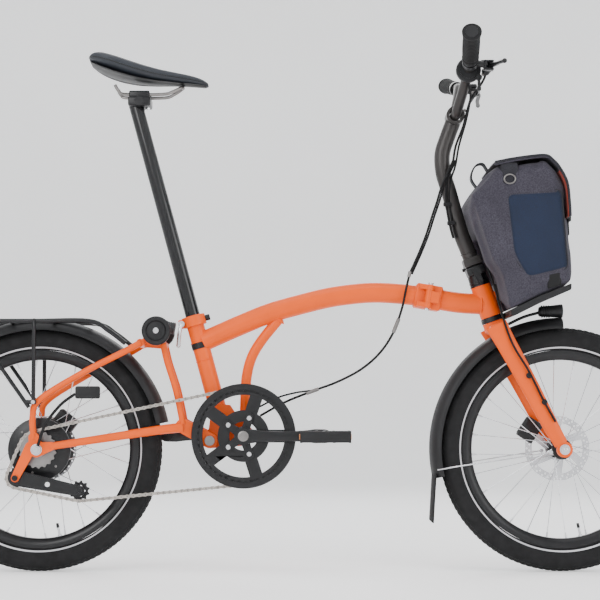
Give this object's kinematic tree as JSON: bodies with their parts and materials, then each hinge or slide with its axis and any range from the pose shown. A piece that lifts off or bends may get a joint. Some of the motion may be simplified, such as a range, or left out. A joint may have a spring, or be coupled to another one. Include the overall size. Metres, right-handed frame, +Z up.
{
  "type": "folding bicycle",
  "caption": "Folding bicycle with small wheels, a hinged curved main tube, a rear frame that swings under, a hinged handlepost, a rear rack and a front bag.",
  "frame": {"origin": "on the ground midway between the two wheel centres, in the plane of the wheels", "axes": "+X forward, +Z up, -Y towards the drive side"},
  "size_m": [1.614, 0.5988, 1.1057],
  "materials": {
    "orange_paint": "satin orange paint",
    "black_paint": "satin black paint",
    "black_plastic": "moulded black plastic",
    "dark_metal": "dark grey satin anodised",
    "steel": "brushed",
    "rubber": "soft black rubber",
    "tyre_rubber": "matt tread rubber",
    "slate_cover": "smooth slate cover",
    "bag_fabric": "coarse grey woven cloth"
  },
  "bodies": {
    "main_frame": {"main_frame": "orange_paint", "rear_pivot_axle": "steel", "main_hinge_pin": "steel", "seat_clamp": "orange_paint", "brake_hose_frame": "rubber"},
    "main_hinge_lever": {"main_hinge_lever": "black_plastic"},
    "seat_clamp_lever": {"seat_clamp_lever": "steel"},
    "seatpost": {"seatpost": "black_paint", "saddle": "slate_cover", "saddle_rails": "steel"},
    "front_frame": {"front_frame": "orange_paint", "headset_lower": "black_paint", "carrier_block": "black_plastic"},
    "bag": {"bag_body": "bag_fabric", "bag_base_tray": "black_plastic"},
    "bag_flap": {"bag_flap": "bag_fabric"},
    "fork": {"fork": "orange_paint", "front_axle": "steel", "stem_hinge_base": "black_paint", "headlight": "black_plastic", "front_mudguard": "black_plastic", "front_caliper": "black_paint"},
    "front_wheel": {"front_tyre": "tyre_rubber", "front_rim": "black_paint", "front_hub": "black_paint", "front_rotor": "steel"},
    "stem_hinge_lever": {"stem_hinge_lever": "black_plastic"},
    "stem": {"stem": "dark_metal", "handlebar": "dark_metal", "grip_right": "rubber", "grip_left": "rubber", "brake_body_right": "black_paint", "brake_body_left": "black_paint", "shifter_pod": "black_plastic", "brake_hose_stem": "rubber"},
    "brake_lever_right": {"brake_lever_right": "black_paint"},
    "brake_lever_left": {"brake_lever_left": "black_paint"},
    "thumb_lever": {"thumb_lever": "black_plastic"},
    "rear_frame": {"rear_frame": "orange_paint", "rear_axle": "steel", "suspension_block": "rubber", "rear_rack": "black_paint", "rear_mudguard": "black_plastic", "rear_caliper": "black_paint", "chain": "steel"},
    "rear_wheel": {"rear_tyre": "tyre_rubber", "rear_rim": "black_paint", "rear_motor_hub": "black_paint", "rear_rotor": "steel"},
    "rear_sprocket": {"rear_sprocket": "steel"},
    "roller_right": {"roller_wheel_right": "rubber"},
    "roller_left": {"roller_wheel_left": "rubber"},
    "tensioner": {"tensioner_arm": "black_paint"},
    "guide_pulley": {"guide_pulley": "black_plastic"},
    "jockey_wheel": {"jockey_wheel": "black_plastic"},
    "crank": {"crank_right": "black_paint", "crank_left": "black_paint", "chainring": "black_paint"},
    "pedal_right": {"pedal_right": "black_plastic"},
    "pedal_left": {"pedal_left": "black_plastic"}
  },
  "joints": [
    {"name": "main_hinge", "type": "hinge", "parent": "main_frame", "child": "front_frame", "pos_m": [0.2705, -0.033, 0.5785], "axis": [0.17, 0, 0.9854], "range_deg": [-125, 0], "deforming": ["brake_hose_frame", "brake_hose_stem"]},
    {"name": "hinge_lever", "type": "hinge", "parent": "main_frame", "child": "main_hinge_lever", "pos_m": [0.26262, 0.043, 0.57986], "axis": [0.17, 0, 0.9854], "range_deg": [-95, 0]},
    {"name": "seat_lever", "type": "hinge", "parent": "main_frame", "child": "seat_clamp_lever", "pos_m": [-0.25254, -0.0212, 0.52053], "axis": [1, 0, 0], "range_deg": [-95, 0]},
    {"name": "seatpost_slide", "type": "slide", "parent": "main_frame", "child": "seatpost", "axis": [-0.2636, 0, 0.9646], "range_m": [-0.36, 0]},
    {"name": "steering", "type": "hinge", "parent": "front_frame", "child": "fork", "pos_m": [0.406, 0, 0.538], "axis": [0.3304, 0, -0.9438], "range_deg": [-35, 35]},
    {"name": "bag_slide", "type": "slide", "parent": "front_frame", "child": "bag", "axis": [0, 0, 1], "range_m": [0, 0.12]},
    {"name": "bag_flap_hinge", "type": "hinge", "parent": "bag", "child": "bag_flap", "pos_m": [0.402, 0, 0.8535], "axis": [0, 1, 0], "range_deg": [-45, 0]},
    {"name": "front_wheel_spin", "type": "hinge", "parent": "fork", "child": "front_wheel", "pos_m": [0.55, 0, 0.257], "axis": [0, 1, 0], "continuous": true},
    {"name": "stem_lever", "type": "hinge", "parent": "fork", "child": "stem_hinge_lever", "pos_m": [0.37098, -0.0265, 0.63934], "axis": [0.9438, 0, 0.3304], "range_deg": [-80, 0]},
    {"name": "stem_fold", "type": "hinge", "parent": "fork", "child": "stem", "pos_m": [0.369, 0.0285, 0.645], "axis": [0.9438, 0, 0.3304], "range_deg": [-125, 0]},
    {"name": "brake_pull_right", "type": "hinge", "parent": "stem", "child": "brake_lever_right", "pos_m": [0.3905, -0.15, 1.048], "axis": [0, 0, -1], "range_deg": [0, 17], "stiffness_Nm_per_rad": 1.2},
    {"name": "brake_pull_left", "type": "hinge", "parent": "stem", "child": "brake_lever_left", "pos_m": [0.3905, 0.15, 1.048], "axis": [0, 0, 1], "range_deg": [0, 17], "stiffness_Nm_per_rad": 1.2},
    {"name": "thumb_lever_push", "type": "hinge", "parent": "stem", "child": "thumb_lever", "pos_m": [0.369, -0.131, 1.027], "axis": [0, 1, 0], "range_deg": [0, 20], "stiffness_Nm_per_rad": 0.3},
    {"name": "rear_fold", "type": "hinge", "parent": "main_frame", "child": "rear_frame", "pos_m": [-0.191, 0, 0.275], "axis": [0, -1, 0], "range_deg": [0, 130], "deforming": ["chain"]},
    {"name": "rear_wheel_spin", "type": "hinge", "parent": "rear_frame", "child": "rear_wheel", "pos_m": [-0.55, 0, 0.257], "axis": [0, 1, 0], "continuous": true},
    {"name": "crank_spin", "type": "hinge", "parent": "main_frame", "child": "crank", "pos_m": [-0.1195, 0, 0.285], "axis": [0, 1, 0], "continuous": true},
    {"name": "pedal_spin_right", "type": "hinge", "parent": "crank", "child": "pedal_right", "pos_m": [0.0505, -0.124, 0.285], "axis": [0, 1, 0], "continuous": true},
    {"name": "pedal_spin_left", "type": "hinge", "parent": "crank", "child": "pedal_left", "pos_m": [-0.2895, 0.124, 0.285], "axis": [0, 1, 0], "continuous": true},
    {"name": "sprocket_spin", "type": "hinge", "parent": "rear_frame", "child": "rear_sprocket", "pos_m": [-0.55, -0.049, 0.257], "axis": [0, 1, 0], "continuous": true},
    {"name": "tensioner_swing", "type": "hinge", "parent": "rear_frame", "child": "tensioner", "pos_m": [-0.594, -0.058, 0.198], "axis": [0, 1, 0], "range_deg": [-6, 10], "stiffness_Nm_per_rad": 3},
    {"name": "guide_pulley_spin", "type": "hinge", "parent": "rear_frame", "child": "guide_pulley", "pos_m": [-0.594, -0.049, 0.198], "axis": [0, 1, 0], "continuous": true},
    {"name": "jockey_wheel_spin", "type": "hinge", "parent": "tensioner", "child": "jockey_wheel", "pos_m": [-0.462, -0.049, 0.171], "axis": [0, 1, 0], "continuous": true},
    {"name": "roller_spin_right", "type": "hinge", "parent": "rear_frame", "child": "roller_right", "pos_m": [-0.3027, -0.0598, 0.505], "axis": [0, 1, 0], "continuous": true},
    {"name": "roller_spin_left", "type": "hinge", "parent": "rear_frame", "child": "roller_left", "pos_m": [-0.3027, 0.0598, 0.505], "axis": [0, 1, 0], "continuous": true}
  ],
  "couplings": [
    {"joint": "sprocket_spin", "follows": "crank_spin", "ratio": 2.59},
    {"joint": "guide_pulley_spin", "follows": "crank_spin", "ratio": 4.7},
    {"joint": "jockey_wheel_spin", "follows": "crank_spin", "ratio": 4.7}
  ]
}
